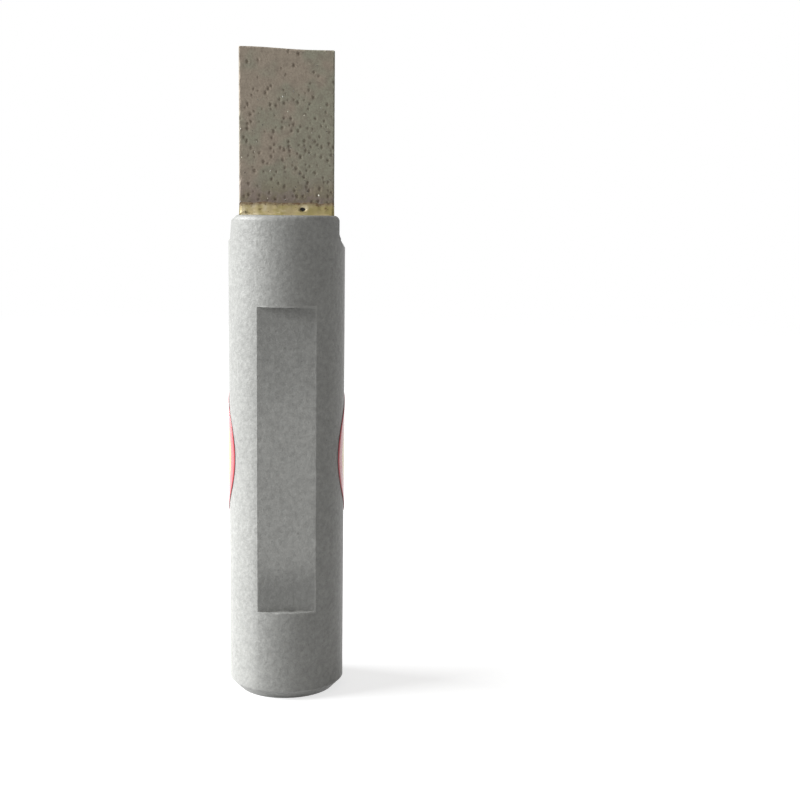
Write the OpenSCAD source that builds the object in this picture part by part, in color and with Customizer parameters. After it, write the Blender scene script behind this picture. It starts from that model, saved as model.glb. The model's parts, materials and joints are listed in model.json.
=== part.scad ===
// Diamond wheel dresser: a round painted steel shank with a diamond bar brazed into its front end.
// Sizes are in millimetres. The shank stands on its rear face, its axis is Z and its flat faces -Y.

/* [Shank] */
// Diameter of the round shank
shank_d = 12; // [11:0.5:16]
// Length of the shank from its rear face to its front face
shank_len = 50; // [46:1:70]
// Chamfer around the rear face
rear_chamfer = 1; // [0.4:0.1:1.5]
// Chamfer around the front face
front_chamfer = 0.5; // [0.1:0.1:0.6]

/* [Clamping flat] */
// Depth of the flat below the round surface
flat_depth = 0.8; // [0.4:0.1:1.4]
// Length of the flat along the shank
flat_len = 31.5; // [20:0.5:33]
// Distance from the front face of the shank to the flat
flat_setback = 9.1; // [5:0.1:10]

/* [Slot] */
// Depth of the slot across the front end
slot_depth = 2.5; // [1.5:0.1:4]
// Radius of the two corners at the slot's floor
slot_corner_r = 0.6; // [0.2:0.1:0.9]
// Reach of the chamfer at each open end of the slot, along the slot's floor
end_chamfer_reach = 0.5; // [0.2:0.05:0.6]
// Height of that chamfer, down the round surface
end_chamfer_h = 0.8; // [0.3:0.1:1.2]

/* [Diamond bar] */
// Width of the bar along the slot
bar_w = 9.6; // [7:0.1:10]
// Thickness of the bar across the slot
bar_t = 4; // [3:0.25:5]
// Length of the bar, with the part of it that sits in the slot
bar_len = 19.05; // [12:0.05:24]
// Bevel on the long edges and the front edges of the bar
bar_bevel = 0.12; // [0.05:0.01:0.3]

/* [Braze] */
// Gap between each wide face of the bar and the slot's wall
braze_gap = 0.75; // [0.4:0.05:1]
// Thickness of the braze between the bar and the slot's floor
braze_bed = 0.1; // [0.05:0.05:0.4]
// Height of the fillets that climb the bar's wide faces
fillet_h = 1.4; // [0.6:0.1:2.4]
// Height of the lips that climb the bar's narrow faces
lip_h = 0.8; // [0.3:0.1:1.4]
// Reach of the lips along the slot's floor
lip_reach = 0.7; // [0.3:0.1:1]
// Distance from the bar's narrow faces to the full depth of braze in the gaps
fill_recess = 0.6; // [0.2:0.1:1.2]
// Distance from the shank's round surface to the braze
braze_inset = 0.05; // [0.05:0.05:0.3]
// Hollowness of the fillets and lips: zero is straight, and more is deeper
braze_hollow = 0.5; // [0.1:0.1:0.8]

/* [Label] */
// Size of the oval label around the shank
label_w = 24.8; // [14:0.2:26]
// Size of the oval label along the shank
label_h = 18; // [10:0.5:24]
// Thickness of the label
label_t = 0.1; // [0.06:0.01:0.14]
// Thickness of the glue between the shank and the label
label_glue = 0.01; // [0.01:0.01:0.04]
// Distance from the front face of the shank to the label's centre
label_setback = 24.9; // [18:0.1:32]

/* [Hidden] */
$fn = 96;
past = 1;
shank_r = shank_d / 2;
flat_top_z = shank_len - flat_setback;
flat_side = -90;
slot_w = bar_t + 2 * braze_gap;
slot_floor_z = shank_len - slot_depth;
bar_foot_z = slot_floor_z + braze_bed;
bar_top_z = bar_foot_z + bar_len;
curve_steps = 8;
label_steps = 56;
label_tip = 86;
label_z = shank_len - label_setback;

// Turns a flat outline so that it stands across the slot and runs along it for a length
module along_slot(length) {
  rotate([90, 0, 90])
    linear_extrude(height = length, center = true)
      children();
}

// Turns a flat outline so that it stands along the slot and runs across it for a length
module across_slot(length) {
  rotate([90, 0, 0])
    linear_extrude(height = length, center = true)
      children();
}

// Points of a hollow slope that falls from a height to zero over a reach
function slope(reach, height) =
  [for (i = [0:curve_steps])
    let (t = i / curve_steps, bend = 2 * t * (1 - t) * (1 - braze_hollow) / 2)
      [reach * (t * t + bend), height * ((1 - t) * (1 - t) + bend)]];

// Outline of the slot seen along its run, from its floor up to a height
module slot_outline(height) {
  inner_w = slot_w - 2 * slot_corner_r;
  translate([-slot_w / 2, slot_corner_r])
    square([slot_w, height - slot_corner_r]);
  translate([-inner_w / 2, 0])
    square([inner_w, height]);
  for (side = [-1, 1])
    translate([side * inner_w / 2, slot_corner_r])
      circle(r = slot_corner_r);
}

// Outline of a rectangle that stands on a line, with bevelled corners
module bevelled(width, height, bevel) {
  polygon([
    [-width / 2 + bevel, 0], [width / 2 - bevel, 0],
    [width / 2, bevel], [width / 2, height - bevel],
    [width / 2 - bevel, height], [-width / 2 + bevel, height],
    [-width / 2, height - bevel], [-width / 2, bevel]
  ]);
}

// Shape of the bar, with its foot at the height zero
module bar_shape() {
  intersection() {
    along_slot(bar_w)
      bevelled(bar_t, bar_len, bar_bevel);
    across_slot(bar_t)
      bevelled(bar_w, bar_len, bar_bevel);
    linear_extrude(height = bar_len)
      translate([0, -bar_t / 2])
        bevelled(bar_w, bar_t, bar_bevel);
  }
}

// Outline of the braze that lies on the slot's floor and climbs both narrow faces of the bar
module lips_outline() {
  edge = slope(lip_reach, lip_h);
  polygon(concat(
    [for (p = edge) [bar_w / 2 + p[0], p[1]]],
    [for (i = [curve_steps:-1:0]) [-bar_w / 2 - edge[i][0], edge[i][1]]]
  ));
}

// Outline of the two fillets that climb the wide faces of the bar and fill the bevels beside them
module fillets_outline() {
  inner = bar_t / 2 - bar_bevel;
  for (side = [-1, 1])
    polygon(concat(
      [[side * inner, 0], [side * inner, fillet_h]],
      [for (p = slope(braze_gap, fillet_h)) [side * (bar_t / 2 + p[0]), p[1]]]
    ));
}

// Outline of the two chamfers at the open ends of the slot, seen across it, with its floor at the height zero
module end_chamfers_outline() {
  inner = shank_r - end_chamfer_reach;
  outer = shank_r + end_chamfer_reach;
  for (side = [-1, 1])
    polygon([[side * inner, 0], [side * outer, 0], [side * outer, -2 * end_chamfer_h]]);
}

// Round shank with its chamfers, turned from a seam on the flat's side, with the flat and the bar's slot
module shank() {
  color("silver")
    difference() {
      rotate([0, 0, flat_side])
        rotate_extrude()
          polygon([
            [0, 0], [shank_r - rear_chamfer, 0],
            [shank_r, rear_chamfer], [shank_r, shank_len - front_chamfer],
            [shank_r - front_chamfer, shank_len], [0, shank_len]
          ]);
      translate([-shank_r, -shank_r - past, flat_top_z - flat_len])
        cube([shank_d, flat_depth + past, flat_len]);
      translate([0, 0, slot_floor_z])
        along_slot(shank_d + 2 * past)
          slot_outline(slot_depth + past);
      translate([0, 0, slot_floor_z])
        across_slot(slot_w)
          end_chamfers_outline();
    }
}

// Bar of sintered metal and diamond grit
module diamond_bar() {
  color("dimgray")
    translate([0, 0, bar_foot_z])
      bar_shape();
}

// Braze under and beside the bar, with the fillets and lips that hold it
module braze() {
  color("goldenrod")
    intersection() {
      difference() {
        union() {
          translate([0, 0, slot_floor_z])
            intersection() {
              along_slot(shank_d)
                slot_outline(slot_depth);
              union() {
                across_slot(slot_w)
                  lips_outline();
                translate([-bar_w / 2 + fill_recess, -slot_w / 2, 0])
                  cube([bar_w - 2 * fill_recess, slot_w, slot_depth]);
              }
            }
          translate([0, 0, shank_len])
            along_slot(bar_w)
              fillets_outline();
        }
        translate([0, 0, bar_foot_z])
          bar_shape();
      }
      cylinder(r = shank_r - braze_inset, h = bar_top_z);
    }
}

// Oval paper label, bent around the side of the shank that is opposite the flat
module label() {
  r_in = shank_r + label_glue;
  r_out = r_in + label_t;
  turn = [for (i = [0:label_steps]) -label_tip + 2 * label_tip * i / label_steps];
  around = [for (u = turn) -flat_side + sin(u) * label_w / 2 / shank_r * 180 / PI];
  half_h = [for (u = turn) cos(u) * label_h / 2];
  points = [for (i = [0:label_steps], r = [r_in, r_out], side = [-1, 1])
    [r * cos(around[i]), r * sin(around[i]), side * half_h[i]]];
  last = 4 * label_steps;
  faces = concat(
    [[0, 1, 3, 2], [last, last + 2, last + 3, last + 1]],
    [for (i = [0:label_steps - 1], f = [[0, 4, 5, 1], [2, 3, 7, 6], [1, 5, 7, 3], [0, 2, 6, 4]])
      [for (k = f) 4 * i + k]]
  );
  color("gold")
    translate([0, 0, label_z])
      polyhedron(points, faces, convexity = 4);
}

shank();
diamond_bar();
braze();
label();
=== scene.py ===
# %% [markdown]
# # Diamond wheel dresser
# A dresser trues the face of a grinding wheel. It is a round steel shank, painted silver, with a
# bar of sintered metal and diamond grit brazed across its front end. This lesson dresses the four
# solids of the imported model: each gets a finer mesh in the same place, and a finish that is worked
# out by nodes.

# %% Load the frame
import json
import math

import bmesh
import bpy
from mathutils import Matrix, Vector, noise

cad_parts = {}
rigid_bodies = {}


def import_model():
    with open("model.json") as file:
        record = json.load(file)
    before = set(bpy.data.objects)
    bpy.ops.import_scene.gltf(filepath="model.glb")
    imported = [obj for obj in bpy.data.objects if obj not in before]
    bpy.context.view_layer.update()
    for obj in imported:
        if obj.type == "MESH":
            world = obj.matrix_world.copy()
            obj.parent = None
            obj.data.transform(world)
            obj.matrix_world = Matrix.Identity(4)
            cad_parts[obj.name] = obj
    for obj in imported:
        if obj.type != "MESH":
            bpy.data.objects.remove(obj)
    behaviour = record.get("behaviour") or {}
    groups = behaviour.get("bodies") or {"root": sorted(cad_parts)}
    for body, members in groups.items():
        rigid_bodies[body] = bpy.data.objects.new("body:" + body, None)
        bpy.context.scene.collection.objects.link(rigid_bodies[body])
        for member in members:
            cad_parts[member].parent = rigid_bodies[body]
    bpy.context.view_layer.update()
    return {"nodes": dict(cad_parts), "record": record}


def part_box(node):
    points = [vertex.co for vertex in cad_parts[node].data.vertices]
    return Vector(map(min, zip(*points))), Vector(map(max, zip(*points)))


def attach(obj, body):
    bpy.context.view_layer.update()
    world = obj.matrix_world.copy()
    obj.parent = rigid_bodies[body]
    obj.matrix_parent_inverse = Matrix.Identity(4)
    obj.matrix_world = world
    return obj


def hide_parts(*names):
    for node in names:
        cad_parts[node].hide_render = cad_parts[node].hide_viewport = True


for leftover in list(bpy.data.objects):
    bpy.data.objects.remove(leftover)
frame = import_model()

# %% [markdown]
# ## Sizes
# The frame is in metres, and the tool is as small as a finger, so this script works in millimetres
# and scales each finished mesh once. The main sizes could be typed in, but read from the frame they
# follow the model. Boxes give the shank's length, the bar, the slot and the label, the mounts give
# the shank's radius and the flat's plane, and the flat's own triangles say how far it runs.

# %% Read the sizes from the frame
MM = 0.001
mounts = {mount["name"]: mount for mount in frame["record"]["mounts"]}


def box_mm(node):
    """The lowest and highest corner of a node, in millimetres."""
    low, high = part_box(node)
    return low / MM, high / MM


shank_high = box_mm("shank")[1]
bar_low, bar_high = box_mm("diamond_bar")
braze_low, braze_high = box_mm("braze")
label_low, label_high = box_mm("label")
shank_r = mounts["shank"]["dims"]["r_mm"]
shank_len = shank_high.z
slot_floor = braze_low.z
slot_half = braze_high.y
print(f"shank: radius {shank_r:.2f}, length {shank_len:.2f}, slot floor at {slot_floor:.2f}")

# %% Measure the flat
FACING_FRONT = -0.999
SAME_PLANE = 0.01

flat_y = mounts["clamp_flat"]["pos_m"][1] / MM
shank_mesh = frame["nodes"]["shank"].data
flat_heights = [
    shank_mesh.vertices[corner].co.z / MM
    for triangle in shank_mesh.polygons
    if triangle.normal.y < FACING_FRONT and abs(triangle.center.y / MM - flat_y) < SAME_PLANE
    for corner in triangle.vertices
]
flat_low = min(flat_heights)
flat_high = max(flat_heights)
flat_half = math.sqrt(shank_r ** 2 - flat_y ** 2)
print(f"flat: from {flat_low:.2f} to {flat_high:.2f}, {2 * flat_half:.2f} wide")

# %% [markdown]
# ## Camera
# A camera placed by eye would come close, but this one was solved from the corners of the bar, the
# sides of the shank and the corners of the flat. It stands 14 cm in front of the flat, about as
# high as the shank's front end, and looks slightly down and to the right of the tool. Its angles
# are in degrees.

# %% Place the camera
FRAME_PX = 800
FOCAL_PX = 1360
SENSOR_MM = 36
NEAREST = 0.01
CAMERA_PLACE = Vector((0.68, -141.76, 51.22))
CAMERA_DOWN = 8.185
CAMERA_RIGHT = 4.428
CAMERA_ROLL = -0.698

camera_data = bpy.data.cameras.new("front_camera")
camera_data.sensor_width = SENSOR_MM
camera_data.lens = SENSOR_MM * FOCAL_PX / FRAME_PX
camera_data.clip_start = NEAREST
camera = bpy.data.objects.new("front_camera", camera_data)
bpy.context.scene.collection.objects.link(camera)
camera.location = CAMERA_PLACE * MM
camera_turns = (90 - CAMERA_DOWN, CAMERA_ROLL, -CAMERA_RIGHT)
camera.rotation_euler = [math.radians(turn) for turn in camera_turns]
bpy.context.scene.camera = camera
print("lens", round(camera_data.lens, 1), "mm")

# %% [markdown]
# ## Nodes as Python
# A shader is a sum of many small nodes. Writing each node by hand hides the idea behind the wiring,
# so one class grows a node tree and another wraps a socket. The wrapper knows the arithmetic signs,
# so that an expression such as `1 - mask * 0.5` adds its own Math nodes.

# %% A socket that can do sums
class Wire:
    """One output of a node, used like a number in an expression."""

    def __init__(self, graph, socket):
        self.graph = graph
        self.socket = socket

    def also(self, name):
        """Another output of the same node."""
        return Wire(self.graph, self.socket.node.outputs[name])

    def sums(self, operation, *values):
        return self.graph.node("ShaderNodeMath", {"operation": operation}, dict(enumerate(values)))

    def __add__(self, other):
        return self.sums("ADD", self, other)

    def __sub__(self, other):
        return self.sums("SUBTRACT", self, other)

    def __rsub__(self, other):
        return self.sums("SUBTRACT", other, self)

    def __mul__(self, other):
        return self.sums("MULTIPLY", self, other)

    def __truediv__(self, other):
        return self.sums("DIVIDE", self, other)

    def __rtruediv__(self, other):
        return self.sums("DIVIDE", other, self)

    def __pow__(self, other):
        return self.sums("POWER", self, other)

    def __abs__(self):
        return self.sums("ABSOLUTE", self)

    def most(self, other):
        return self.sums("MAXIMUM", self, other)

    __radd__ = __add__
    __rmul__ = __mul__


# %% A node tree that grows by one method
class Graph:
    """A node tree. The method node adds any node, and the others are short names for common ones."""

    def __init__(self, tree):
        self.tree = tree
        tree.nodes.clear()

    def node(self, kind, settings=None, sockets=None, out=0):
        """Adds a node, sets it up, links or fills its sockets and returns one of its outputs."""
        made = self.tree.nodes.new(kind)
        for name, value in (settings or {}).items():
            setattr(made, name, value)
        for name, value in (sockets or {}).items():
            if isinstance(value, Wire):
                self.tree.links.new(value.socket, made.inputs[name])
            else:
                made.inputs[name].default_value = value
        return Wire(self, made.outputs[out]) if made.outputs else None

    def vector(self, operation, a, b, out=0):
        scale = {"SCALE": "Scale"}.get(operation, 1)
        return self.node("ShaderNodeVectorMath", {"operation": operation}, {0: a, scale: b}, out)

    def split(self, vector):
        x = self.node("ShaderNodeSeparateXYZ", None, {0: vector})
        return x, x.also("Y"), x.also("Z")

    def place(self):
        """Object coordinates in millimetres."""
        spot = self.node("ShaderNodeTexCoord", out="Object")
        return self.vector("SCALE", spot, 1 / MM)

    def noise(self, where, scale, detail=2.0, roughness=0.5, out=0):
        sockets = {"Vector": where, "Scale": scale, "Detail": detail, "Roughness": roughness}
        return self.node("ShaderNodeTexNoise", None, sockets, out)

    def cells(self, where, scale, out="Distance"):
        return self.node("ShaderNodeTexVoronoi", None, {"Vector": where, "Scale": scale}, out)

    def rise(self, value, low, high):
        """Goes smoothly from 0 at low to 1 at high."""
        settings = {"interpolation_type": "SMOOTHSTEP"}
        return self.node("ShaderNodeMapRange", settings, {0: value, 1: low, 2: high})

    def blend(self, share, a, b):
        """The colour a where the share is 0, and b where it is 1."""
        return self.node("ShaderNodeMix", {"data_type": "RGBA"}, {0: share, 6: a, 7: b}, 2)

    def attribute(self, name, out="Fac"):
        return self.node("ShaderNodeAttribute", {"attribute_name": name}, None, out)

    def bump(self, height, distance_mm, below=None):
        sockets = {"Height": height, "Distance": distance_mm * MM}
        if below:
            sockets["Normal"] = below
        return self.node("ShaderNodeBump", None, sockets)


# %% Colours and materials
def rgb(red, green, blue):
    """A colour as the picture shows it, from 0 to 255, turned into the light that Blender counts."""
    parts = [value / 255 for value in (red, green, blue)]
    linear = [part / 12.92 if part <= 0.04045 else ((part + 0.055) / 1.055) ** 2.4 for part in parts]
    return (*linear, 1.0)


def make_material(name, recipe):
    """A material whose surface is the shader that the recipe returns."""
    material = bpy.data.materials.new(name)
    material.use_nodes = True
    graph = Graph(material.node_tree)
    graph.node("ShaderNodeOutputMaterial", None, {"Surface": recipe(graph)})
    print(name, "has", len(material.node_tree.nodes), "nodes")
    return material


# %% [markdown]
# ## Meshes
# Each piece is modelled in millimetres, its modifiers are turned into plain geometry, and only then
# is it scaled to metres. The object itself stays at the origin, so that Object coordinates mean the
# same on all.

# %% Helpers for meshes
def add_object(name, mesh):
    piece = bpy.data.objects.new(name, mesh)
    bpy.context.scene.collection.objects.link(piece)
    return piece


def mesh_from(name, bm):
    mesh = bpy.data.meshes.new(name)
    bm.to_mesh(mesh)
    bm.free()
    return mesh


def settle(piece):
    """Turns a piece and its modifiers into one plain mesh."""
    graph = bpy.context.evaluated_depsgraph_get()
    mesh = bpy.data.meshes.new_from_object(piece.evaluated_get(graph))
    piece.modifiers.clear()
    piece.data = mesh


def hand_over(piece, material, slot, *nodes):
    """Scales a finished piece to metres, gives it its material and fixes it to the frame."""
    mesh = piece.data
    mesh.transform(Matrix.Scale(MM, 4))
    mesh.polygons.foreach_set("use_smooth", [True] * len(mesh.polygons))
    mesh.materials.clear()
    mesh.materials.append(material)
    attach(piece, "root")
    if nodes:
        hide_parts(*nodes)
    mesh.calc_loop_triangles()
    print(piece.name, "has", len(mesh.loop_triangles), "triangles")


# %% [markdown]
# ## Shank
# The shank is bar stock that was turned, milled and then sprayed. A lathe of its profile makes the
# round part, and cutters take away the flat, the slot and the sharp edge below each open end of the
# slot, as the milling cutter and the file did. The faces could be built one by one, but Boolean
# modifiers put each edge where two cuts meet. A paint film rounds every edge a little, so an
# angle-limited Bevel goes over all of them at once.

# %% Turn the round stock
SHANK_STEPS = 180
FACET_TURN = math.pi / SHANK_STEPS
REAR_CHAMFER = 1.0
RIM_IN = 0.5
RIM_DOWN = 0.55
RIM_STEPS = 8


def lathe(name, profile, steps):
    """Turns a profile of (radius, height) points about Z and closes both ends."""
    bm = bmesh.new()
    rings = []
    for radius, height in profile:
        turns = [FACET_TURN + 2 * math.pi * step / steps for step in range(steps)]
        rings.append([bm.verts.new((radius * math.cos(t), radius * math.sin(t), height)) for t in turns])
    for lower, upper in zip(rings, rings[1:]):
        for i in range(steps):
            j = (i + 1) % steps
            bm.faces.new((lower[i], lower[j], upper[j], upper[i]))
    bm.faces.new(list(reversed(rings[0])))
    bm.faces.new(rings[-1])
    return mesh_from(name, bm)


shank_profile = [(shank_r - REAR_CHAMFER, 0), (shank_r, REAR_CHAMFER)]
for step in range(RIM_STEPS + 1):
    turn = math.pi / 2 * step / RIM_STEPS
    radius = shank_r - RIM_IN * (1 - math.cos(turn))
    shank_profile.append((radius, shank_len - RIM_DOWN * (1 - math.sin(turn))))
shank = add_object("painted_shank", lathe("painted_shank", shank_profile, SHANK_STEPS))
print("turned shank has", len(shank.data.polygons), "faces")

# %% Shapes of the cutters
SLOT_CORNER = 0.6
CORNER_STEPS = 6


def prism(name, outline, low, high, across=False):
    """A closed block along X with an outline of (y, z) points, or along Y with one of (x, z) points."""
    bm = bmesh.new()
    ends = []
    for run in (low, high):
        corners = [(wide, run, z) if across else (run, wide, z) for wide, z in outline]
        ends.append([bm.verts.new(corner) for corner in corners])
    for i in range(len(outline)):
        j = (i + 1) % len(outline)
        bm.faces.new((ends[0][i], ends[1][i], ends[1][j], ends[0][j]))
    bm.faces.new(ends[0])
    bm.faces.new(list(reversed(ends[1])))
    bmesh.ops.recalc_face_normals(bm, faces=bm.faces)
    return mesh_from(name, bm)


def slot_outline(top):
    """The slot seen along its run: a flat floor, two round corners and straight walls."""
    points = [(slot_half, top)]
    for step in range(CORNER_STEPS + 1):
        turn = math.pi / 2 * step / CORNER_STEPS
        y = slot_half - SLOT_CORNER + SLOT_CORNER * math.cos(turn)
        z = slot_floor + SLOT_CORNER - SLOT_CORNER * math.sin(turn)
        points.append((y, z))
    return points + [(-y, z) for y, z in reversed(points)]


# %% Cutters for the flat and the slot
PAST = 1.0
# For each open end of the slot, how far in and how far down its sharp edge is taken off
END_CHAMFERS = {1: (0.5, 0.8), -1: (0.15, 0.25)}

reach = shank_r + PAST
flat_outline = [(flat_y, flat_low), (flat_y, flat_high), (-reach, flat_high), (-reach, flat_low)]
slot_points = slot_outline(shank_len + PAST)
cutters = [
    add_object("flat_cutter", prism("flat_cutter", flat_outline, -reach, reach)),
    add_object("slot_cutter", prism("slot_cutter", slot_points, -reach, reach)),
]
for side, (inwards, down) in END_CHAMFERS.items():
    above = slot_floor + down
    below = slot_floor - 2 * down
    inner = side * (shank_r - 2 * inwards)
    outer = side * (shank_r + inwards)
    end_outline = [(inner, above), (outer, above), (outer, below)]
    end_block = prism("end_cutter", end_outline, -slot_half, slot_half, across=True)
    cutters.append(add_object("end_cutter", end_block))
print("cutters:", ", ".join(cutter.name for cutter in cutters))

# %% Cut the shank
for cutter in cutters:
    cut = shank.modifiers.new(cutter.name, "BOOLEAN")
    cut.operation = "DIFFERENCE"
    cut.solver = "EXACT"
    cut.object = cutter
settle(shank)
for cutter in cutters:
    bpy.data.objects.remove(cutter)
print("milled shank has", len(shank.data.polygons), "faces")

# %% Round the painted edges
PAINT_ROUND = 0.13
ROUND_SEGMENTS = 3
EDGE_ANGLE = 18

rounding = shank.modifiers.new("paint_round", "BEVEL")
rounding.width = PAINT_ROUND
rounding.segments = ROUND_SEGMENTS
rounding.limit_method = "ANGLE"
rounding.angle_limit = math.radians(EDGE_ANGLE)
shank.data.polygons.foreach_set("use_smooth", [True] * len(shank.data.polygons))
shank.modifiers.new("flat_shading", "WEIGHTED_NORMAL")
settle(shank)
print("rounded shank has", len(shank.data.polygons), "faces")

# %% [markdown]
# ## Silver paint
# The paint is a cheap silver enamel: fine aluminium flakes in a grey film, blotchy like orange
# peel, with a few faint specks of dust. Soft noise makes the blotches, cells of random brightness
# make the flakes, and a bump gives the uneven skin. In Object coordinates none of them has a seam.
# Paint that is paler low on the left side and in the middle of the flat, and darker at the ends of
# the flat, is painted light and shade. Along the milled edges the film is thin. Those follow the
# place on the shank, so they are masks.

# %% Masks on the shank
PAINTED_LIGHT_LOW = 14.0
PAINTED_LIGHT_HIGH = 38.0
PAINTED_LIGHT_OUTER = -3.6
PAINTED_LIGHT_INNER = -2.6
WORN_NEAR = 0.05
WORN_FAR = 0.22
WORN_SIDE_FAR = 0.2
WORN_SIDES = 0.35


def painted_light_mask(g, x, z):
    """1 low on the left side, where painted light makes the paint paler."""
    return (1 - g.rise(z, PAINTED_LIGHT_LOW, PAINTED_LIGHT_HIGH)) * (1 - g.rise(x, PAINTED_LIGHT_OUTER, PAINTED_LIGHT_INNER))


def flat_painted_shading(g, x, y, z):
    """Painted light and shade that the flat adds to the paint's tone: lighter in the middle, darker at
    both ends.
    """
    on_flat = (1 - g.rise(abs(y - flat_y), 0.02, 0.1)) * g.rise(flat_half - abs(x), 0.0, 0.2)
    low_end = 1 - g.rise(z, flat_low + 2.0, flat_low + 6.0)
    high_end = 1 - g.rise(flat_high - z, 0.0, 15.0)
    return on_flat * (0.26 - low_end * 0.58 - high_end * 0.48)


def worn_mask(g, x, y, z):
    """1 at the upper and lower edge of the flat, and less along its sides."""
    in_flat = g.rise(flat_half + 0.25 - abs(x), 0.0, 0.1) * g.rise(-1 * y, -flat_y - 0.1, -flat_y)
    upper = 1 - g.rise(abs(z - flat_high), WORN_NEAR, WORN_FAR)
    lower = 1 - g.rise(abs(z - flat_low), WORN_NEAR, WORN_FAR)
    side = 1 - g.rise(abs(abs(x) - flat_half), WORN_NEAR, WORN_SIDE_FAR)
    between_ends = g.rise(z, flat_low, flat_low + 0.2) * g.rise(flat_high - z, 0.0, 0.2)
    return in_flat * upper.most(lower).most(WORN_SIDES * side * between_ends)


# %% Mix the silver paint
PAINT_DARK = rgb(133, 133, 130)
PAINT_MID = rgb(147, 147, 144)
PAINT_LIGHT = rgb(182, 182, 178)
PAINT_DUST = rgb(88, 86, 82)
PAINT_THIN = rgb(192, 192, 188)
FLAKES_PER_MM = 8.0
GRAINS_PER_MM = 7.0
BLOTCHES_PER_MM = 2.2
CLOUDS_PER_MM = 0.4
DUST_PER_MM = 0.9


def silver_paint(g):
    where = g.place()
    x, y, z = g.split(where)
    flakes = g.split(g.cells(where, FLAKES_PER_MM, "Color"))
    grain = g.noise(where, GRAINS_PER_MM, 2.0, 0.6)
    blotch = g.noise(where, BLOTCHES_PER_MM)
    cloud = g.noise(where, CLOUDS_PER_MM)
    tone = blotch * 0.8 + cloud * 0.25 + grain * 0.35 + flakes[0] * 0.18 - 0.28
    # The two masks add painted light and shade to the paint's tone.
    tone = tone + painted_light_mask(g, x, z) * 0.22 + flat_painted_shading(g, x, y, z)
    colour = g.blend(g.rise(tone, 0.0, 1.4), PAINT_DARK, PAINT_LIGHT)
    dust = 1 - g.rise(g.cells(where, DUST_PER_MM), 0.05, 0.11)
    colour = g.blend(dust * 0.3, colour, PAINT_DUST)
    patchy = g.rise(g.noise(where, 1.2), 0.35, 0.7)
    colour = g.blend(worn_mask(g, x, y, z) * patchy * 0.45, colour, PAINT_THIN)
    skin = g.bump(blotch, 0.05)
    sand = g.bump(grain + flakes[1] * 0.3, 0.012, skin)
    return g.node("ShaderNodeBsdfPrincipled", None, {
        "Base Color": colour,
        "Metallic": 0.0,
        "Specular IOR Level": 0.28,
        "Roughness": 0.36 + flakes[2] * 0.16,
        "Normal": sand,
    })


paint_material = make_material("silver_paint", silver_paint)
hand_over(shank, paint_material, "silver_paint", "shank")

# %% [markdown]
# ## Diamond bar
# The bar is pressed from metal powder and diamond grit and then sintered. Where grit has broken
# out, pits are left. A bump could fake them, but real hollows keep their shape in every light. So
# first comes a block with a dense grid on every side, to have enough points to push in, and with
# round and slightly chipped edges. Its free end is a little out of square, and the grid is coarser
# in the slot, where little of it shows.

# %% Where the grid's points lie
BAR_PITCH = 0.08
BAR_ROUND = 0.13
EDGE_SHARES = (0.0, 0.3, 0.65)
CHIP_LARGE = 0.09
CHIP_SMALL = 0.05
TOP_DROP = 0.25
DROP_FROM = -4.2
DROP_TO = 2.6


def graded(low, high, pitch):
    """Positions from low to high at about one pitch, with a few closer ones in the round of each edge."""
    inner_low, inner_high = low + BAR_ROUND, high - BAR_ROUND
    count = max(1, round((inner_high - inner_low) / pitch))
    middle = [inner_low + (inner_high - inner_low) * i / count for i in range(count + 1)]
    first = [low + BAR_ROUND * share for share in EDGE_SHARES]
    last = [high - BAR_ROUND * share for share in reversed(EDGE_SHARES)]
    return first + middle + last


def rounded(point, low, high):
    """Moves a point of a box's surface onto the same box with round edges, chipped a little by noise."""
    inner = Vector(min(max(p, a + BAR_ROUND), b - BAR_ROUND) for p, a, b in zip(point, low, high))
    out = point - inner
    bends = sum(abs(part) > 1e-6 for part in out)
    depth = BAR_ROUND
    if bends > 1:
        depth -= CHIP_LARGE * max(0.0, noise.noise(point * 2.2) + 0.05)
        depth -= CHIP_SMALL * max(0.0, noise.noise(point * 6.0))
    return inner + out.normalized() * depth


def smooth_share(value, low, high):
    """Goes smoothly from 0 at low to 1 at high."""
    share = min(1.0, max(0.0, (value - low) / (high - low)))
    return share * share * (3 - 2 * share)


def slanted(point, low, high):
    """Lowers a point towards one side of the free end."""
    drop = TOP_DROP * smooth_share(point.x, DROP_FROM, DROP_TO)
    return point - Vector((0, 0, drop * (point.z - low.z) / (high.z - low.z)))


# %% Grid block for the bar
FOOT_LINES = 4
KEEP_EVERY = 3


def grid_block(name, axes):
    """A closed box of quads on three lists of positions, with its edges rounded."""
    bm = bmesh.new()
    low = Vector(axis[0] for axis in axes)
    high = Vector(axis[-1] for axis in axes)
    made = {}

    def vertex(index):
        if index not in made:
            point = Vector(axis[i] for axis, i in zip(axes, index))
            made[index] = bm.verts.new(slanted(rounded(point, low, high), low, high))
        return made[index]

    for fixed in range(3):
        u, v = (fixed + 1) % 3, (fixed + 2) % 3
        for end in (0, len(axes[fixed]) - 1):
            for i in range(len(axes[u]) - 1):
                for j in range(len(axes[v]) - 1):
                    corners = []
                    for di, dj in ((0, 0), (1, 0), (1, 1), (0, 1)):
                        index = [0, 0, 0]
                        index[fixed], index[u], index[v] = end, i + di, j + dj
                        corners.append(vertex(tuple(index)))
                    bm.faces.new(corners if end else list(reversed(corners)))
    return mesh_from(name, bm)


bar_axes = [graded(bar_low[k], bar_high[k], BAR_PITCH) for k in range(3)]
bar_axes[2] = [
    z for i, z in enumerate(bar_axes[2])
    if z > shank_len or i < FOOT_LINES or i % KEEP_EVERY == 0
]
bare_bar = grid_block("diamond_bar_grid", bar_axes)
print("bar grid has", len(bare_bar.polygons), "faces")
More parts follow.
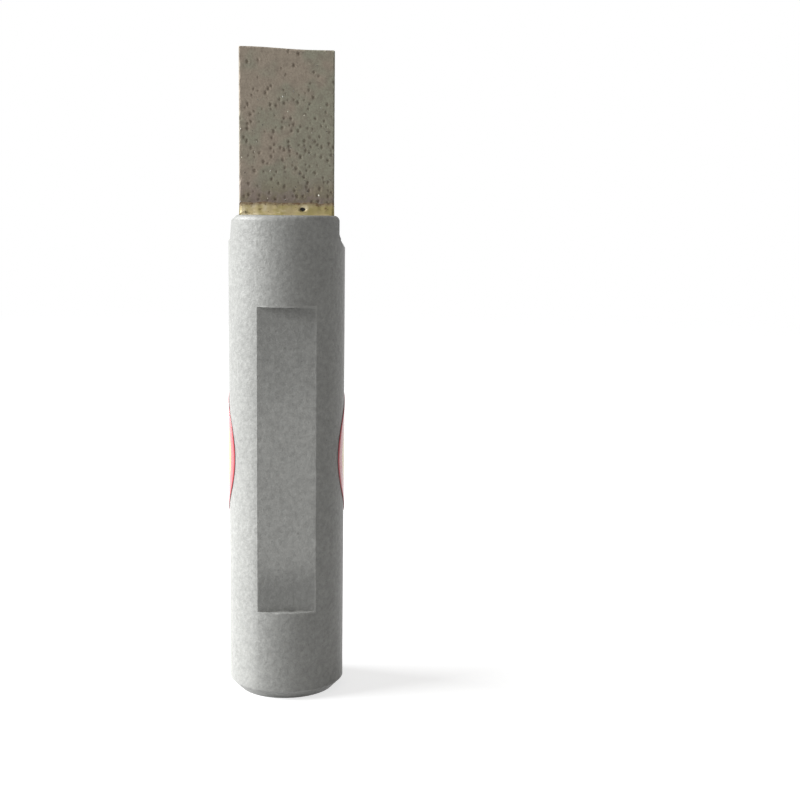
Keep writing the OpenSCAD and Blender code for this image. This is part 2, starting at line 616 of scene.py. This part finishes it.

# %% [markdown]
# ## Sintered metal
# Sintered metal is dull and warm grey, with soft greenish clouds, a powdery grain and dark pits. On
# the narrow sides the grinding of the bar has left fine lines along it. Near the braze the heat has
# coloured it purple and olive. One noise alone looks like cloud or like sand, so a large, a middle
# and a fine one lie over each other. How deep a pit is comes from an attribute that the next step
# stores, and the pits darken with it: dark grit left in them, and painted shade in the hollows.

# %% Mix the sintered metal
SINTER_WARM = rgb(159, 147, 131)
SINTER_COOL = rgb(147, 145, 127)
SINTER_DARK = rgb(116, 105, 93)
HEAT_PURPLE = rgb(136, 120, 115)
HEAT_OLIVE = rgb(134, 124, 100)
PIT_GRIT_AND_SHADE = rgb(88, 75, 60)
HEAT_FULL = shank_len + 1.0
HEAT_END = shank_len + 4.5
LINE_STRETCH = (6.0, 6.0, 0.5)


def sintered_metal(g):
    where = g.place()
    x, _, z = g.split(where)
    middle = (bar_low.z + bar_high.z) / 2
    cloud = g.noise(where, 0.3) + x * 0.02 - abs(z - middle) * 0.012
    colour = g.blend(g.rise(cloud, 0.38, 0.56), SINTER_WARM, SINTER_COOL)
    heat = 1 - g.rise(z, HEAT_FULL, HEAT_END)
    tint = g.blend(g.rise(g.noise(where, 0.7), 0.42, 0.58), HEAT_PURPLE, HEAT_OLIVE)
    colour = g.blend(heat * 0.8, colour, tint)
    mottle = g.noise(where, 1.4, 4.0, 0.6)
    colour = g.blend(g.rise(mottle, 0.4, 0.75) * 0.5, colour, SINTER_DARK)
    grain = g.noise(where, 4.5, 3.0, 0.65)
    colour = g.blend(g.rise(grain, 0.4, 0.75) * 0.5, colour, SINTER_DARK)
    lines = g.noise(g.vector("MULTIPLY", where, LINE_STRETCH), 1.0)
    narrow = g.rise(abs(x), bar_high.x - 0.2, bar_high.x - 0.05)
    colour = g.blend(narrow * g.rise(lines, 0.4, 0.7) * 0.35, colour, SINTER_COOL)
    # Each pit darkens with its depth: dark grit left in it, and painted shade in its hollow.
    colour = g.blend(g.attribute("pit") * 0.7, colour, PIT_GRIT_AND_SHADE)
    skin = g.bump(mottle + grain, 0.025)
    skin = g.bump(lines * narrow, 0.02, skin)
    return g.node("ShaderNodeBsdfPrincipled", None, {
        "Base Color": colour,
        "Metallic": 0.15,
        "Roughness": 0.55 + grain * 0.2,
        "Normal": skin,
    })


sinter_material = make_material("sintered_metal", sintered_metal)

# %% [markdown]
# ## Pits
# Hundreds of pits are too many to cut one by one. A Geometry Nodes tree scatters points over the
# block, gives each a size, and pushes every vertex near a point inwards. Noise bends the outline of
# each pit, and an attribute keeps the depth for the shader. There are fewer pits near the free end,
# where the bar was ground.

# %% Helpers for Geometry Nodes
def start_tree(name, inputs):
    """A Geometry Nodes tree with a mesh coming in and going out, and named inputs of its own."""
    tree = bpy.data.node_groups.new(name, "GeometryNodeTree")
    tree.interface.new_socket("Mesh", in_out="INPUT", socket_type="NodeSocketGeometry")
    tree.interface.new_socket("Mesh", in_out="OUTPUT", socket_type="NodeSocketGeometry")
    for label, value in inputs.items():
        kind = "NodeSocketInt" if isinstance(value, int) else "NodeSocketFloat"
        tree.interface.new_socket(label, in_out="INPUT", socket_type=kind)
    graph = Graph(tree)
    return graph, graph.node("NodeGroupInput")


def run_tree(piece, graph, inputs):
    """Runs a tree on a piece with its inputs set, and keeps the result as a plain mesh."""
    modifier = piece.modifiers.new(graph.tree.name, "NODES")
    modifier.node_group = graph.tree
    for item in graph.tree.interface.items_tree:
        if item.in_out == "INPUT" and item.name in inputs:
            modifier[item.identifier] = inputs[item.name]
    settle(piece)


# %% Points on the bar
THINNED_BY = 0.85


def grit_points(g, given):
    """Points on the bar, with fewer of them towards its free end and none at its very end."""
    z = g.split(g.node("GeometryNodeInputPosition"))[2]
    wanted = 1 - g.rise(z, given.also("Thin out from"), bar_high.z - 1.0) * THINNED_BY
    wanted = wanted * (1 - g.rise(z, bar_high.z - 0.6, bar_high.z - 0.4))
    return g.node("GeometryNodeDistributePointsOnFaces", {"distribute_method": "POISSON"}, {
        "Mesh": given, "Distance Min": given.also("Spacing"), "Density Max": given.also("Density"),
        "Density Factor": wanted, "Seed": given.also("Seed"),
    })


def random_size(g, given, small, large, shift):
    """A random number for each point between two of the tree's inputs."""
    return g.node("FunctionNodeRandomValue", None, {
        2: given.also(small), 3: given.also(large), "Seed": given.also("Seed") + shift,
    }, 1)


# %% A tree for the pits
PIT_INPUTS = {
    "Spacing": 0.4, "Density": 2.4, "Thin out from": 60.0,
    "Small pit": 0.11, "Large pit": 0.23, "Depth": 0.3, "Seed": 7,
}
PIT_BEND = 0.22
PIT_STRETCH = (1.0, 1.0, 0.7)
NOISE_MIDDLE = (0.5, 0.5, 0.5)
ORIGIN = (0.0, 0.0, 0.0)

g, given = start_tree("bar_pits", PIT_INPUTS)
points = grit_points(g, given)
size = random_size(g, given, "Small pit", "Large pit", 1)
spot = g.node("GeometryNodeInputPosition")
bend = g.vector("SUBTRACT", g.noise(spot, 6.0, out="Color"), NOISE_MIDDLE)
bent_spot = g.vector("ADD", spot, g.vector("SCALE", bend, PIT_BEND))
nearest = g.node("GeometryNodeSampleNearest", None, {"Geometry": points, "Sample Position": bent_spot})
middle = g.node("GeometryNodeSampleIndex", {"data_type": "FLOAT_VECTOR"}, {
    "Geometry": points, "Value": g.node("GeometryNodeInputPosition"), "Index": nearest})
pit_size = g.node("GeometryNodeSampleIndex", {"data_type": "FLOAT"}, {
    "Geometry": points, "Value": size, "Index": nearest})
away = g.vector("MULTIPLY", g.vector("SUBTRACT", bent_spot, middle), PIT_STRETCH)
away = g.vector("LENGTH", away, ORIGIN, "Value")
pit = 1 - g.rise(away / pit_size, 0.15, 1.05)
sunk = g.vector("SCALE", g.node("GeometryNodeInputNormal"), pit * pit_size * given.also("Depth") * -1)
marked = g.node("GeometryNodeStoreNamedAttribute", {"data_type": "FLOAT"}, {
    "Geometry": given, "Name": "pit", "Value": pit})
pushed = g.node("GeometryNodeSetPosition", None, {"Geometry": marked, "Offset": sunk})
real = g.node("GeometryNodeRealizeInstances", None, {"Geometry": pushed})
dressed = g.node("GeometryNodeSetMaterial", None, {"Geometry": real, "Material": sinter_material})
g.node("NodeGroupOutput", None, {0: dressed})
print(g.tree.name, "has", len(g.tree.nodes), "nodes")

# %% Push the pits in
bar = add_object("sintered_bar", bare_bar.copy())
run_tree(bar, g, PIT_INPUTS)
hand_over(bar, sinter_material, "sintered_metal", "diamond_bar")

# %% [markdown]
# ## Diamond grit
# Between the pits some grains of diamond still stand in the metal. A grain is a blocky crystal,
# here an octahedron with its corners cut off. One crystal is enough: a second tree puts copies of
# it on the same kind of scatter, turns each at random and sinks it into the surface.

# %% One crystal
CORNER_CUT = 0.3
SAME_FACE = 0.02


def crystal_mesh(cut):
    """An octahedron of radius 1 with its six corners cut off."""
    bm = bmesh.new()
    corners = [Vector(c) for c in ((1, 0, 0), (-1, 0, 0), (0, 1, 0), (0, -1, 0), (0, 0, 1), (0, 0, -1))]
    for a in corners:
        for b in corners:
            if abs(a.dot(b)) < 0.5:
                bm.verts.new(a.lerp(b, cut))
    bmesh.ops.convex_hull(bm, input=bm.verts)
    bmesh.ops.dissolve_limit(bm, angle_limit=SAME_FACE, verts=bm.verts, edges=bm.edges)
    return mesh_from("crystal", bm)


crystal = add_object("crystal", crystal_mesh(CORNER_CUT))
print("one crystal has", len(crystal.data.polygons), "faces")

# %% Mix the grit
GRIT_DARK = rgb(66, 60, 46)
GRIT_PALE = rgb(206, 202, 180)
GRIT_IOR = 2.0


def diamond_grit(g):
    tone = g.attribute("tone")
    colour = g.blend(g.rise(tone, 0.6, 0.9), GRIT_DARK, GRIT_PALE)
    return g.node("ShaderNodeBsdfPrincipled", None, {
        "Base Color": colour,
        "Roughness": 0.12 + tone * 0.2,
        "IOR": GRIT_IOR,
    })


grit_material = make_material("diamond_grit", diamond_grit)

# %% Scatter the crystals
GRIT_INPUTS = {
    "Spacing": 0.7, "Density": 0.55, "Thin out from": 58.0,
    "Small grain": 0.1, "Large grain": 0.2, "Sink": 0.55, "Seed": 23,
}
ANY_TURN = (6.28, 6.28, 6.28)

g, given = start_tree("bar_grit", GRIT_INPUTS)
points = grit_points(g, given)
turned = g.node("FunctionNodeRandomValue", {"data_type": "FLOAT_VECTOR"}, {
    0: ORIGIN, 1: ANY_TURN, "Seed": given.also("Seed") + 2})
source = g.node("GeometryNodeObjectInfo", None, {"Object": crystal}, "Geometry")
size = random_size(g, given, "Small grain", "Large grain", 1)
inwards = g.vector("SCALE", points.also("Normal"), size * given.also("Sink") * -1)
sunk = g.node("GeometryNodeSetPosition", None, {"Geometry": points, "Offset": inwards})
grains = g.node("GeometryNodeInstanceOnPoints", None, {
    "Points": sunk, "Instance": source, "Rotation": turned, "Scale": size})
tone = g.node("FunctionNodeRandomValue", None, {"Seed": given.also("Seed") + 3}, 1)
toned = g.node("GeometryNodeStoreNamedAttribute", {"data_type": "FLOAT", "domain": "INSTANCE"}, {
    "Geometry": grains, "Name": "tone", "Value": tone})
real = g.node("GeometryNodeRealizeInstances", None, {"Geometry": toned})
painted = g.node("GeometryNodeSetMaterial", None, {"Geometry": real, "Material": grit_material})
g.node("NodeGroupOutput", None, {0: painted})
grit = add_object("diamond_grit", bare_bar)
run_tree(grit, g, GRIT_INPUTS)
bpy.data.objects.remove(crystal)
hand_over(grit, grit_material, "sintered_metal")
grit.data.polygons.foreach_set("use_smooth", [False] * len(grit.data.polygons))

# %% [markdown]
# ## Braze
# The braze is brass that ran into the slot and froze. It climbs the wide faces of the bar as a
# hollow fillet with an uneven upper edge and stops flush with the narrow faces. Below the fillet
# the gaps stay open near the ends, and a low lip with a small peak lies on the slot's floor. A
# swept profile would be too even. Seen from above all of this is landscape, so it is built as such:
# a height and a floor for each point of a grid, and walls where it ends.

# %% One piece of landscape
HAIR = 0.004


def between(low, high, pitch):
    count = max(1, round((high - low) / pitch))
    return [low + (high - low) * i / count for i in range(count + 1)]


def mirrored(values):
    return [-value for value in reversed(values)] + values


def landscape(bm, x_lines, y_lines, place, holds, top, floor):
    """Adds a closed solid between two height fields, on the cells of a grid that hold braze."""
    tops, bottoms = {}, {}

    def corner(made, level, i, j):
        if (i, j) not in made:
            x, y = place(x_lines[i], y_lines[j])
            made[i, j] = bm.verts.new((x, y, level(x, y)))
        return made[i, j]

    def held(i, j):
        if not (0 <= i < len(x_lines) - 1 and 0 <= j < len(y_lines) - 1):
            return False
        return holds((x_lines[i] + x_lines[i + 1]) / 2, (y_lines[j] + y_lines[j + 1]) / 2)

    around = ((0, 0), (1, 0), (1, 1), (0, 1))
    next_cell = ((0, -1), (1, 0), (0, 1), (-1, 0))
    for i in range(len(x_lines) - 1):
        for j in range(len(y_lines) - 1):
            if not held(i, j):
                continue
            upper = [corner(tops, top, i + a, j + b) for a, b in around]
            lower = [corner(bottoms, floor, i + a, j + b) for a, b in around]
            bm.faces.new(upper)
            bm.faces.new(list(reversed(lower)))
            for k, (a, b) in enumerate(next_cell):
                if not held(i + a, j + b):
                    n = (k + 1) % 4
                    bm.faces.new((lower[k], lower[n], upper[n], upper[k]))


def slot_level(y):
    """The height of the slot's floor with its round corners."""
    into_corner = max(0.0, abs(y) - (slot_half - SLOT_CORNER))
    return slot_floor + HAIR + SLOT_CORNER - math.sqrt(max(0.0, SLOT_CORNER ** 2 - into_corner ** 2))


braze_bm = bmesh.new()
bar_x, bar_y = bar_high.x, bar_high.y

# %% Fillets and bed
FILLET_HIGH = braze_high.z - shank_len
FILLET_HOLLOW = 1.8
FILLET_THIN = 0.012
GAP = slot_half - bar_y
SPILL = 0.45
SPILL_RADIUS = shank_r - RIM_IN - 0.05
RECESS = 0.6
BRIDGE = 0.3
PINHOLE = Vector((1.6, -bar_y - 0.4))
PINHOLE_SIZE = Vector((0.3, 0.14))
PINHOLE_DEEP = 0.75
PINHOLE_HIGH = 0.6


def wobble(x, side, pitch, seed):
    """Noise along the bar, of its own for each side of it."""
    return noise.noise(Vector((x * pitch, side * 7.0, seed)))


def spill_width(x, side):
    """How far the fillet's foot runs out on the shank's front face, which ends at the rim."""
    room = math.sqrt(SPILL_RADIUS ** 2 - x * x) - slot_half
    return max(0.02, min(room, SPILL * (1 - 0.5 * (x / bar_x) ** 2 + 0.5 * wobble(x, side, 0.7, 9.0))))


def fillet_place(x, y):
    side = math.copysign(1.0, y)
    if abs(y) > slot_half:
        y = side * (slot_half + (abs(y) - slot_half) * spill_width(x, side) / SPILL)
    return x, y


def fillet_top(x, y):
    """The bed under the bar, or the fillet: highest at the bar, hollow, and uneven along its length."""
    if abs(y) < bar_y:
        return bar_low.z - HAIR
    side = math.copysign(1.0, y)
    high = FILLET_HIGH * (0.9 + 0.12 * wobble(x, side, 0.7, 0.0) + 0.05 * wobble(x, side, 2.2, 3.0))
    share = min(1.0, (abs(y) - bar_y) / (GAP + spill_width(x, side)))
    end = smooth_share(abs(x), bar_x - 0.16, bar_x + 0.04)
    away = Vector(((x - PINHOLE.x) / PINHOLE_SIZE.x, (y - PINHOLE.y) / PINHOLE_SIZE.y))
    pin = PINHOLE_DEEP * math.exp(-away.length_squared ** 2)
    top = shank_len + min(high, FILLET_HIGH) * (1 - share) ** FILLET_HOLLOW * (1 - 0.07 * end) - pin
    return max(top, fillet_floor(x, y) + FILLET_THIN)


def fillet_floor(x, y):
    """The slot's floor, the shank's front face, or the underside of the fillet over an open gap."""
    if abs(y) > slot_half:
        return shank_len + HAIR
    if abs(y) > bar_y and abs(x) > bar_x - RECESS:
        return shank_len - BRIDGE
    return slot_level(y)


def off_wide_faces(x, y):
    """True but for the hair's breadth at the bar's wide faces, where the fillets and the bed part."""
    return abs(abs(y) - bar_y) > HAIR / 2


# %% Build the fillets and the bed
fillet_x = between(HAIR, bar_x - RECESS, 0.07)
fillet_x += between(bar_x - RECESS + HAIR, bar_x - 0.2, 0.07)
fillet_x += between(bar_x - 0.15, bar_x - HAIR, 0.03)
fillet_x = mirrored(fillet_x)
fillet_y = [0.5, bar_y - HAIR]
fillet_y += between(bar_y + HAIR, slot_half - HAIR, 0.045)
fillet_y += between(slot_half + HAIR, slot_half + SPILL, 0.06)
fillet_y = mirrored(fillet_y)
landscape(braze_bm, fillet_x, fillet_y, fillet_place, off_wide_faces, fillet_top, fillet_floor)
print("fillets and bed have", len(braze_bm.faces), "faces")

# %% Lips at the ends of the slot
LIP_HIGH = 0.27
LIP_PEAK = 0.6
RUN_HIGH = 1.9
RUN_SLOPE = 0.7
RUN_EDGE = 5.7
RUN_FROM = -1.0
RUN_FULL = -2.1
RUN_POWER = 2.5
BRAZE_EDGE = shank_r - 0.02


def run_level(x, y):
    """A run of braze that fills the front corner at one end of the slot and was painted over."""
    if x > 0:
        return 0.0
    share = min(1.0, max(0.0, (RUN_FROM - y) / (RUN_FROM - RUN_FULL)))
    return (RUN_HIGH + RUN_SLOPE * (RUN_EDGE - abs(x))) * share ** RUN_POWER


def lip_place(x, y):
    """Ends the lip at its reach, or at the round surface where braze ran further."""
    if abs(x) > bar_x:
        room = math.sqrt(BRAZE_EDGE ** 2 - y * y)
        limit = min(braze_high.x, room)
        limit += (room - limit) * min(1.0, run_level(x, y) / 0.5)
        x = math.copysign(bar_x + (abs(x) - bar_x) * (limit - bar_x) / (braze_high.x - bar_x), x)
    return x, y


def lip_top(x, y):
    """A low mound with a peak on the bar's narrow face, rising at the walls, with a round outer edge."""
    side = math.copysign(1.0, x)
    out = min(1.0, max(0.0, (abs(x) - bar_x) / (braze_high.x - bar_x)))
    peak = LIP_PEAK * math.exp(-abs(y - side * 0.2) / 0.32)
    wall = 0.5 * max(0.0, (abs(y) - slot_half + 0.5) / 0.5) ** 2
    ragged = 0.06 * noise.noise(Vector((x * 1.5, y * 2.0, 4)))
    level = LIP_HIGH + ragged + (peak + wall) * (1 - out) ** 2
    return max(slot_level(y) + level - 0.12 * out ** 6, slot_floor + run_level(x, y) + 0.5 * ragged)


def lip_floor(x, y):
    return slot_level(y)


def off_bar(x, y):
    """True beside the bar, because the lips don't run under it."""
    return abs(x) > bar_x or abs(y) > bar_y


# %% Build the lips
lip_x = between(bar_x - RECESS + 2 * HAIR, bar_x - HAIR, 0.06)
lip_x += between(bar_x + HAIR, braze_high.x, 0.05)
lip_y = between(HAIR, bar_y - HAIR, 0.08)
lip_y += between(bar_y + HAIR, slot_half - HAIR, 0.05)
lip_y = mirrored(lip_y)
for side in (-1, 1):
    side_x = sorted(side * x for x in lip_x)
    landscape(braze_bm, side_x, lip_y, lip_place, off_bar, lip_top, lip_floor)
braze = add_object("braze_fillet", mesh_from("braze_fillet", braze_bm))
print("braze has", len(braze.data.polygons), "faces")

# %% [markdown]
# ## Brass colours
# Braze cools to a dull yellow brass with olive and pale patches. The pale ones grow towards the left
# end, which is partly painted light, and the pinhole's black inside is painted shade. Where the braze
# meets the bar, its upper edge is browner all along, and flux leaves brown stains there and low in
# the slot. The paint gun has also covered whatever ran out to the round surface, so the braze turns
# grey there. Heights and distances say where each of these lies, and noise makes it uneven. The sharp
# edges are marked, so that the shading of a face doesn't run over into the next.

# %% Mix the braze
BRASS = rgb(178, 163, 122)
BRASS_PALE = rgb(206, 194, 162)
BRASS_OLIVE = rgb(158, 145, 96)
FLUX_BROWN = rgb(104, 80, 54)
EDGE_BROWN = rgb(134, 119, 97)
PINHOLE_SHADE = rgb(10, 5, 2)
PIN_SPREAD = (0.3, 0.6, 0.2)
HALO_SHIFT = (0.6, 0.0, 0.7)
BRAZE_SHARP = 50


def braze_alloy(g):
    where = g.place()
    x, y, z = g.split(where)
    patch = g.noise(where, 0.7)
    colour = g.blend(g.rise(patch, 0.42, 0.6), BRASS, BRASS_OLIVE)
    # Pale patches, more of them towards the left end: partly real, partly painted light from the lamp's
    # side.
    pale_and_lit = g.rise(g.noise(where, 1.1) - x * 0.035, 0.54, 0.74)
    colour = g.blend(pale_and_lit * 0.8, colour, BRASS_PALE)
    spots = g.noise(where, 2.4, 3.0, 0.6)
    # Browner along the fillet's upper edge, where it meets the bar.
    upper = (1 - g.rise(abs(y) - bar_y, 0.02, 0.24)) * g.rise(z, shank_len + 0.5, shank_len + 0.9)
    colour = g.blend(upper * 0.9, colour, EDGE_BROWN)
    low = 1 - g.rise(z, slot_floor + 0.2, shank_len)
    stain = g.rise(spots + upper * 0.18 + low * 0.08, 0.6, 0.74)
    colour = g.blend(stain * 0.8, colour, FLUX_BROWN)
    centre = (PINHOLE.x, PINHOLE.y, shank_len + PINHOLE_HIGH)
    away = g.vector("DIVIDE", g.vector("SUBTRACT", where, centre), PIN_SPREAD)
    halo = g.vector("LENGTH", g.vector("SUBTRACT", away, HALO_SHIFT), ORIGIN, "Value")
    colour = g.blend((1 - g.rise(halo, 0.9, 1.8)) * 0.7, colour, BRASS_PALE)
    # The pinhole's black inside is painted shade.
    hole = g.vector("LENGTH", away, ORIGIN, "Value")
    colour = g.blend(1 - g.rise(hole, 0.75, 1.15), colour, PINHOLE_SHADE)
    radius = (x * x + y * y) ** 0.5
    colour = g.blend(g.rise(radius, shank_r - 0.35, shank_r - 0.15), colour, PAINT_MID)
    return g.node("ShaderNodeBsdfPrincipled", None, {
        "Base Color": colour,
        "Metallic": 0.1,
        "Specular IOR Level": 0.3,
        "Roughness": 0.48 + patch * 0.2,
        "Normal": g.bump(spots, 0.02),
    })


braze_material = make_material("braze_alloy", braze_alloy)
hand_over(braze, braze_material, "braze_alloy", "braze")
braze.data.set_sharp_from_angle(angle=math.radians(BRAZE_SHARP))

# %% [markdown]
# ## Label
# The label is an oval of foil paper, wrapped around the back of the shank. A flat sheet could be
# wrapped by a modifier, but sums do it exactly: a disc of rings and spokes is scaled to the oval,
# bent around the cylinder and given two sides. An attribute keeps each point's place on the flat
# oval, so that the printed ring keeps its width. The print is left plain: a ring, a thin line and a
# bare field.

# %% Wrap the label
LABEL_RINGS = 40
LABEL_SPOKES = 192
LABEL_WIDE = 24.8
LABEL_CLEAR = 0.012
LABEL_THICK = 0.055
LABEL_LIFT = 0.026
label_a = LABEL_WIDE / 2
label_b = (label_high.z - label_low.z) / 2
label_z = (label_high.z + label_low.z) / 2


def label_mesh(name):
    """A closed sheet: an outer and an inner disc on the cylinder, joined along the rim."""
    bm = bmesh.new()
    flat = bm.verts.layers.float_vector.new("flat_mm")

    def vertex(ring, spoke, outer):
        share = ring / LABEL_RINGS
        turn = 2 * math.pi * spoke / LABEL_SPOKES
        s = label_a * share * math.cos(turn)
        t = label_b * share * math.sin(turn)
        wave = max(0.0, noise.noise(Vector((s * 0.35, t * 0.35, 2.0)))) + 0.4 * share ** 12
        radius = shank_r + LABEL_CLEAR + min(LABEL_LIFT, wave * LABEL_LIFT)
        if outer:
            radius += LABEL_THICK
        around = math.pi / 2 + s / shank_r
        made = bm.verts.new((radius * math.cos(around), radius * math.sin(around), label_z + t))
        made[flat] = (s, t, 0.0)
        return made

    sheets = []
    for outer in (True, False):
        rings = [[vertex(0, 0, outer)]]
        rings += [[vertex(r, s, outer) for s in range(LABEL_SPOKES)] for r in range(1, LABEL_RINGS + 1)]
        sheets.append(rings)
    for rings in sheets:
        for i in range(LABEL_SPOKES):
            j = (i + 1) % LABEL_SPOKES
            bm.faces.new((rings[0][0], rings[1][i], rings[1][j]))
            for near, far in zip(rings[1:], rings[2:]):
                bm.faces.new((near[i], far[i], far[j], near[j]))
    for i in range(LABEL_SPOKES):
        j = (i + 1) % LABEL_SPOKES
        bm.faces.new((sheets[0][-1][i], sheets[1][-1][i], sheets[1][-1][j], sheets[0][-1][j]))
    bmesh.ops.recalc_face_normals(bm, faces=bm.faces)
    return mesh_from(name, bm)


label = add_object("oval_label", label_mesh("oval_label"))
print(f"label: {LABEL_WIDE:.1f} by {2 * label_b:.1f} when flat, centred at {label_z:.1f}")

# %% Print the label
LABEL_RED = rgb(192, 58, 68)
LABEL_YELLOW = rgb(240, 222, 52)
LABEL_GOLD = rgb(220, 188, 54)
RING_TIP = 1.15
RING_WIDE = 1.7
LINE_GAP = 0.45
LINE_WIDE = 0.28


def label_print(g):
    where = g.place()
    flat = g.attribute("flat_mm", "Vector")

    def outside(inset):
        """1 outside an oval that lies a ring's width and an inset within the label's edge."""
        half = (label_a - RING_TIP - inset, label_b - RING_WIDE - inset, 1.0)
        share = g.vector("LENGTH", g.vector("DIVIDE", flat, half), ORIGIN, "Value")
        return g.rise(share, 0.996, 1.004)

    foil = g.split(g.cells(where, 7.0, "Color"))
    shade = g.rise(g.noise(where, 0.5) + foil[0] * 0.2, 0.5, 0.75)
    field = g.blend(shade * 0.7, LABEL_YELLOW, LABEL_GOLD)
    line = outside(LINE_GAP + LINE_WIDE) - outside(LINE_GAP)
    ink = outside(0.0).most(line)
    colour = g.blend(ink, field, LABEL_RED)
    return g.node("ShaderNodeBsdfPrincipled", None, {
        "Base Color": colour,
        "Roughness": 0.3 + foil[1] * 0.2,
        "Coat Weight": 1.0,
        "Coat Roughness": 0.12,
        "Normal": g.bump(g.noise(where, 1.2) + foil[2] * 0.1, 0.02),
    })


label_material = make_material("label_print", label_print)
hand_over(label, label_material, "label_paper", "label")

# %% [markdown]
# ## Studio
# The tool stands on a white table under one large soft lamp at its left, with even light from all
# sides. More light could turn the background white, but it would bleach the paint too. So only the
# rays of the camera and of reflections see the table and the room as white, and the table keeps a
# soft shadow.

# %% White table
WHITE = (1.0, 1.0, 1.0, 1.0)
TABLE_SIZE = 4.0
TABLE_COLOUR = (0.5, 0.5, 0.5, 1.0)
TABLE_GLOW = 0.7
TABLE_NEAR = 0.06
TABLE_FAR = 0.5


def seen_rays(g):
    """1 for the rays that show a surface: from the camera, in a mirror or through glass."""
    path = g.node("ShaderNodeLightPath", out="Is Camera Ray")
    return path.most(path.also("Is Glossy Ray")).most(path.also("Is Transmission Ray"))


def table_white(g):
    """White paper: it glows a little for the camera, and further out it is plain white."""
    lit = g.node("ShaderNodeBsdfDiffuse", None, {"Color": TABLE_COLOUR})
    glow = g.node("ShaderNodeEmission", None, {"Color": WHITE, "Strength": TABLE_GLOW})
    white = g.node("ShaderNodeEmission", None, {"Color": WHITE})
    spot = g.node("ShaderNodeTexCoord", out="Object")
    away = g.vector("LENGTH", spot, ORIGIN, "Value")
    near = g.node("ShaderNodeAddShader", None, {0: lit, 1: glow})
    far_share = g.rise(away, TABLE_NEAR, TABLE_FAR)
    shown = g.node("ShaderNodeMixShader", None, {0: far_share, 1: near, 2: white})
    return g.node("ShaderNodeMixShader", None, {0: seen_rays(g), 1: lit, 2: shown})


bm = bmesh.new()
bmesh.ops.create_grid(bm, x_segments=1, y_segments=1, size=TABLE_SIZE / 2)
table = add_object("table", mesh_from("table", bm))
table.data.materials.append(make_material("table_white", table_white))

# %% Room light
ROOM_COLOUR = (1.0, 0.975, 0.95, 1.0)
ROOM_LIGHT = 0.28

world = bpy.data.worlds.new("room")
world.use_nodes = True
g = Graph(world.node_tree)
room = g.node("ShaderNodeBackground", None, {"Color": ROOM_COLOUR, "Strength": ROOM_LIGHT})
white = g.node("ShaderNodeBackground", None, {"Color": WHITE})
mixed = g.node("ShaderNodeMixShader", None, {0: seen_rays(g), 1: room, 2: white})
g.node("ShaderNodeOutputWorld", None, {"Surface": mixed})
bpy.context.scene.world = world
print("room light", ROOM_LIGHT)

# %% Key lamp
KEY_POWER = 15.5
KEY_COLOUR = (0.97, 0.985, 1.0)
KEY_WIDE = 0.6
KEY_HIGH = 0.45
KEY_TURN = 90
KEY_RISE = 27
KEY_FAR = 0.8

key_data = bpy.data.lights.new("key_lamp", "AREA")
key_data.energy = KEY_POWER
key_data.color = KEY_COLOUR
key_data.shape = "RECTANGLE"
key_data.size = KEY_WIDE
key_data.size_y = KEY_HIGH
key = bpy.data.objects.new("key_lamp", key_data)
bpy.context.scene.collection.objects.link(key)
turn = math.radians(KEY_TURN)
rise = math.radians(KEY_RISE)
aim = Vector((-math.sin(turn) * math.cos(rise), -math.cos(turn) * math.cos(rise), math.sin(rise)))
middle = Vector((0, 0, shank_len / 2 * MM))
key.location = middle + aim * KEY_FAR
key.rotation_euler = aim.to_track_quat("Z", "Y").to_euler()
key.visible_camera = False
bpy.context.scene.view_settings.view_transform = "Standard"
print("key lamp at", [round(value, 3) for value in key.location])
